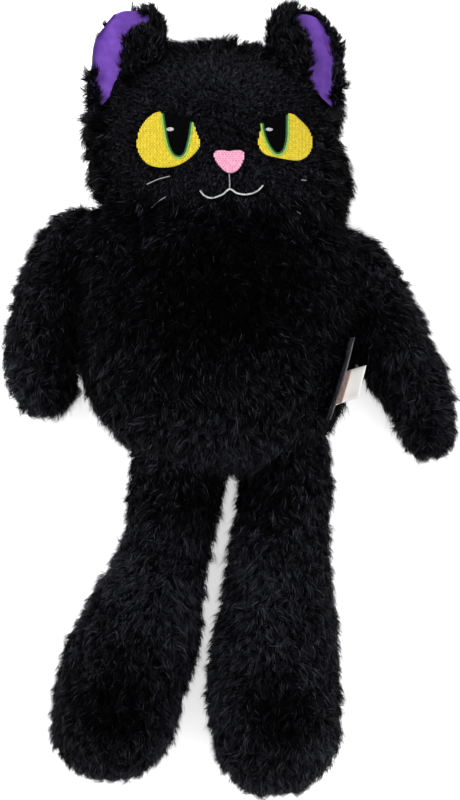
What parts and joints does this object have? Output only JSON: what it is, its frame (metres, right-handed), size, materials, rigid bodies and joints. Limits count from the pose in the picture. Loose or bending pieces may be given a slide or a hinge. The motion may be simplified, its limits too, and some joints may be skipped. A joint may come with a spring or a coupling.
{
  "type": "plush cat",
  "caption": "Long-legged stuffed cat in black shaggy plush, lying on its back, with cupped lined ears, embroidered face, floppy arms and big round feet.",
  "frame": {"origin": "middle of the flat patch on the torso's back, on which the cat lies", "axes": "+X to the cat's left, +Y from the feet to the ears, +Z out of the chest"},
  "size_m": [0.253, 0.4389, 0.0938],
  "materials": {
    "long_plush": "long-pile plush, matt with a soft sheen",
    "short_plush": "short-pile plush",
    "purple_lining": "smooth brushed fabric",
    "fibre_filling": "loose polyester fibre",
    "seam_thread": "thread and seam allowance",
    "yellow_thread": "satin stitch",
    "green_thread": "satin stitch",
    "black_thread": "satin stitch",
    "white_thread": "satin stitch",
    "pink_thread": "satin stitch",
    "satin_label": "woven satin",
    "tag_card": "coated card"
  },
  "bodies": {
    "torso": {"torso_front_panel": "long_plush", "torso_back_panel": "long_plush", "torso_stuffing": "fibre_filling", "closing_seam": "seam_thread", "right_shoulder_gusset": "long_plush", "left_shoulder_gusset": "long_plush"},
    "neck_seam": {"neck_seam": "seam_thread"},
    "head": {"head_front_panel": "short_plush", "head_back_panel": "short_plush", "head_stuffing": "fibre_filling", "neck_stuffing": "fibre_filling", "right_eye_iris": "yellow_thread", "right_eye_rim": "green_thread", "right_eye_pupil": "black_thread", "right_eye_glint": "white_thread", "left_eye_iris": "yellow_thread", "left_eye_rim": "green_thread", "left_eye_pupil": "black_thread", "left_eye_glint": "white_thread", "nose_embroidery": "pink_thread", "mouth_stitching": "white_thread", "right_whiskers": "white_thread", "left_whiskers": "white_thread"},
    "right_ear": {"right_ear_back": "long_plush", "right_ear_lining": "purple_lining"},
    "left_ear": {"left_ear_back": "long_plush", "left_ear_lining": "purple_lining"},
    "care_label": {"care_label": "satin_label"},
    "side_tag": {"side_tag": "tag_card"},
    "right_shoulder_seam": {"right_shoulder_seam": "seam_thread"},
    "right_arm": {"right_arm_front_panel": "long_plush", "right_arm_back_panel": "long_plush", "right_arm_stuffing": "fibre_filling"},
    "right_hip_seam": {"right_hip_seam": "seam_thread"},
    "right_leg": {"right_leg_front_panel": "long_plush", "right_leg_back_panel": "long_plush", "right_leg_stuffing": "fibre_filling"},
    "left_shoulder_seam": {"left_shoulder_seam": "seam_thread"},
    "left_arm": {"left_arm_front_panel": "long_plush", "left_arm_back_panel": "long_plush", "left_arm_stuffing": "fibre_filling"},
    "left_hip_seam": {"left_hip_seam": "seam_thread"},
    "left_leg": {"left_leg_front_panel": "long_plush", "left_leg_back_panel": "long_plush", "left_leg_stuffing": "fibre_filling"}
  },
  "joints": [
    {"name": "head_turn", "type": "hinge", "parent": "torso", "child": "neck_seam", "pos_m": [0, 0.073, 0.042], "axis": [0, 1, 0], "range_deg": [-25, 25]},
    {"name": "head_nod", "type": "hinge", "parent": "neck_seam", "child": "head", "pos_m": [0, 0.073, 0.042], "axis": [1, 0, 0], "range_deg": [0, 30]},
    {"name": "right_ear_fold", "type": "hinge", "parent": "head", "child": "right_ear", "pos_m": [-0.05499, 0.15694, 0.0435], "axis": [0.7782, 0.1087, 0.6186], "range_deg": [-10, 15]},
    {"name": "left_ear_fold", "type": "hinge", "parent": "head", "child": "left_ear", "pos_m": [0.05099, 0.15694, 0.0435], "axis": [0.7782, -0.1087, -0.6186], "range_deg": [-10, 15]},
    {"name": "right_arm_lift", "type": "hinge", "parent": "torso", "child": "right_shoulder_seam", "pos_m": [-0.077, 0.057, 0.024], "axis": [-1, 0, 0], "range_deg": [0, 90]},
    {"name": "right_arm_raise", "type": "hinge", "parent": "right_shoulder_seam", "child": "right_arm", "pos_m": [-0.077, 0.057, 0.024], "axis": [0, 0, -1], "range_deg": [0, 75]},
    {"name": "left_arm_lift", "type": "hinge", "parent": "torso", "child": "left_shoulder_seam", "pos_m": [0.082, 0.053, 0.024], "axis": [-1, 0, 0], "range_deg": [0, 90]},
    {"name": "left_arm_raise", "type": "hinge", "parent": "left_shoulder_seam", "child": "left_arm", "pos_m": [0.082, 0.053, 0.024], "axis": [0, 0, 1], "range_deg": [0, 65]},
    {"name": "right_leg_spread", "type": "hinge", "parent": "torso", "child": "right_hip_seam", "pos_m": [-0.025, -0.077, 0.03], "axis": [0, 0, -1], "range_deg": [-3, 20]},
    {"name": "right_leg_lift", "type": "hinge", "parent": "right_hip_seam", "child": "right_leg", "pos_m": [-0.025, -0.077, 0.03], "axis": [-1, 0, 0], "range_deg": [0, 70]},
    {"name": "left_leg_spread", "type": "hinge", "parent": "torso", "child": "left_hip_seam", "pos_m": [0.037, -0.076, 0.03], "axis": [0, 0, 1], "range_deg": [-2, 20]},
    {"name": "left_leg_lift", "type": "hinge", "parent": "left_hip_seam", "child": "left_leg", "pos_m": [0.037, -0.076, 0.03], "axis": [-1, 0, 0], "range_deg": [0, 70]},
    {"name": "care_label_fold", "type": "hinge", "parent": "torso", "child": "care_label", "pos_m": [0.067, -0.033, 0.04], "axis": [0.2924, 0.9563, 0], "range_deg": [-35, 35]},
    {"name": "side_tag_swing", "type": "hinge", "parent": "torso", "child": "side_tag", "pos_m": [0.07365, 0.0041, 0.055], "axis": [0, 0, 1], "range_deg": [0, 25]}
  ]
}
